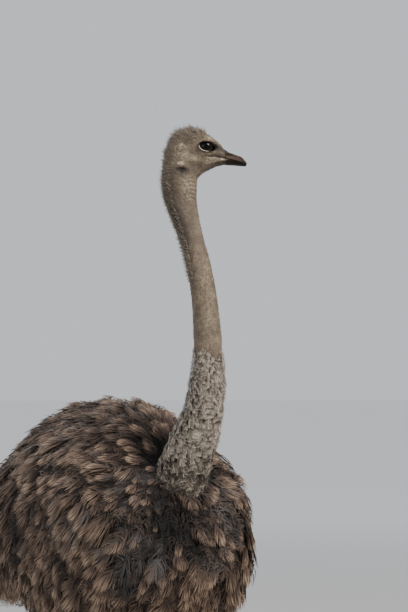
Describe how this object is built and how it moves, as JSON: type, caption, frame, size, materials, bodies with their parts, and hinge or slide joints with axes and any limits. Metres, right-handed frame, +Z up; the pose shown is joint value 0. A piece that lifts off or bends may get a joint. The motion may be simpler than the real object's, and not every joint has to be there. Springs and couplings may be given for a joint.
{
  "type": "standing hen ostrich",
  "caption": "Life-size grey-brown hen ostrich standing at rest on both feet, long bare neck raised and head turned to her left.",
  "frame": {"origin": "on the floor, under the middle of the bird's bounding box", "axes": "+Z up, the breast faces -Y, the bird's own left side is +X"},
  "size_m": [0.5356, 1.2472, 1.854],
  "materials": {
    "plumage": "loose grey-brown plumes with paler edges",
    "down": "short dense grey down",
    "skin": "matt wrinkled skin with sparse bristles",
    "horn": "satin horn",
    "eye": "wet gloss"
  },
  "bodies": {
    "root": {"trunk": "plumage", "tail": "plumage", "wing_left": "plumage", "wing_right": "plumage", "neck_lower": "down", "neck_upper": "skin", "head": "skin", "bill_upper": "horn", "bill_lower": "horn", "eye_left": "eye", "eye_right": "eye", "thigh_left": "skin", "thigh_right": "skin", "shank_left": "skin", "shank_right": "skin", "toe_inner_left": "skin", "toe_inner_right": "skin", "toe_outer_left": "skin", "toe_outer_right": "skin", "claw_left": "horn", "claw_right": "horn"}
  },
  "joints": []
}
